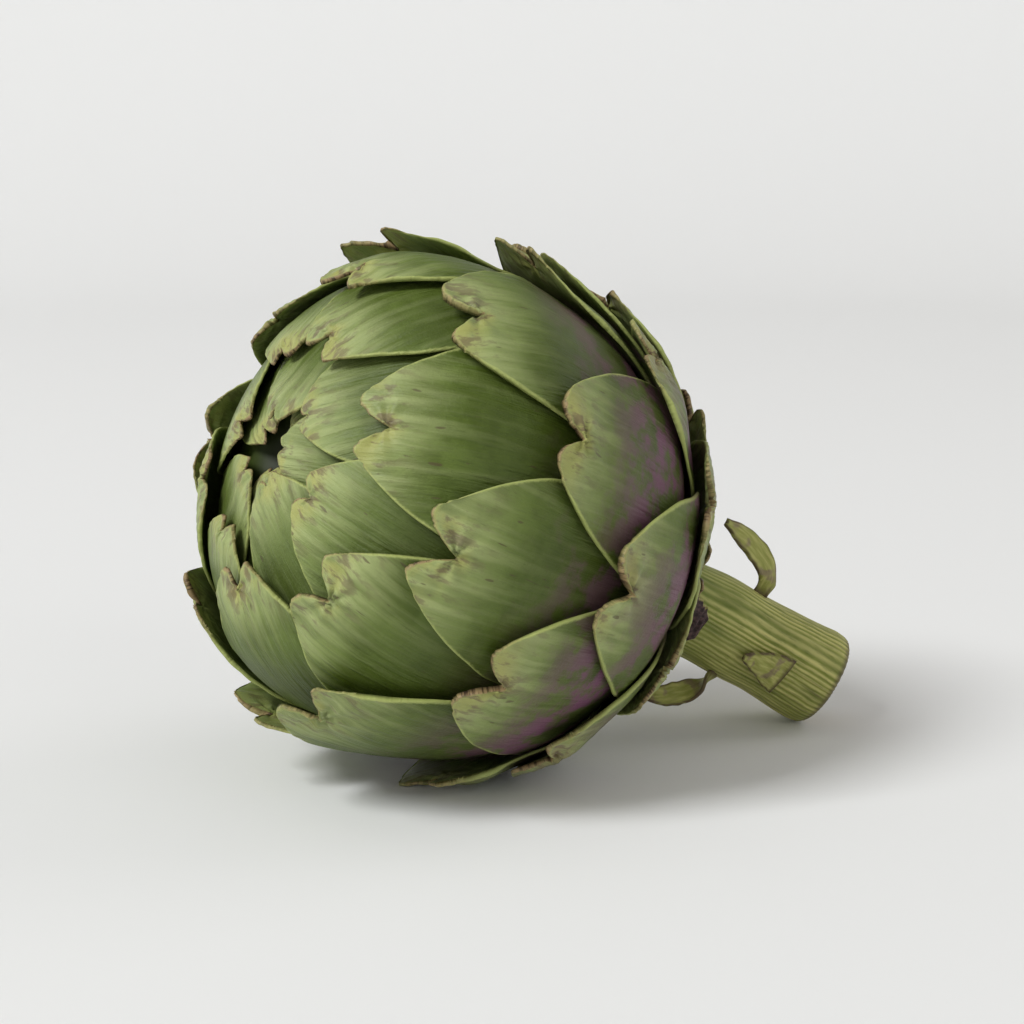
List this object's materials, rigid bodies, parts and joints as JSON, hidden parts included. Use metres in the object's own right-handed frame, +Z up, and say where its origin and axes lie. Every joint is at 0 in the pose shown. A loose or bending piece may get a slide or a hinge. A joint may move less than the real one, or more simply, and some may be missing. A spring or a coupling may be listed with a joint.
{
  "type": "artichoke",
  "caption": "Globe artichoke head with its cut stem, picked and lying on its side: overlapping notched green bracts tinged purple towards a short ribbed stem with small curled leaves",
  "frame": {"origin": "centre of the bounding box in X and Y, on the surface that the artichoke lies on", "axes": "+Z up, +X along the lying artichoke towards the cut end of the stem, with the crown at -X"},
  "size_m": [0.144, 0.1098, 0.109],
  "materials": {
    "bract": "waxy sage-green leaf with fine lengthwise fibres, pale rims and a purple tint near the stem",
    "bud": "pale green young leaves",
    "stem": "satin, ribbed lengthwise in pale yellow-green and darker green",
    "stem_leaf": "thin drying green leaf with brown-purple edges"
  },
  "bodies": {
    "root": {"bract_01": "bract", "bract_02": "bract", "bract_03": "bract", "bract_04": "bract", "bract_05": "bract", "bract_06": "bract", "bract_07": "bract", "bract_08": "bract", "bract_09": "bract", "bract_10": "bract", "bract_11": "bract", "bract_12": "bract", "bract_13": "bract", "bract_14": "bract", "bract_15": "bract", "bract_16": "bract", "bract_17": "bract", "bract_18": "bract", "bract_19": "bract", "bract_20": "bract", "bract_21": "bract", "bract_22": "bract", "bract_23": "bract", "bract_24": "bract", "bract_25": "bract", "bract_26": "bract", "bract_27": "bract", "bract_28": "bract", "bract_29": "bract", "bract_30": "bract", "bract_31": "bract", "bract_32": "bract", "bract_33": "bract", "bract_34": "bract", "bract_35": "bract", "bract_36": "bract", "bract_37": "bract", "bract_38": "bract", "bract_39": "bract", "bract_40": "bract", "bract_41": "bract", "bract_42": "bract", "bract_43": "bract", "bract_44": "bract", "bract_45": "bract", "bract_46": "bract", "bract_47": "bract", "bract_48": "bract", "inner_bud": "bud", "stem": "stem", "stem_leaf_upper": "stem_leaf", "stem_leaf_lower": "stem_leaf", "stem_leaf_scar": "stem_leaf", "stem_leaf_neck": "stem_leaf"}
  },
  "joints": []
}
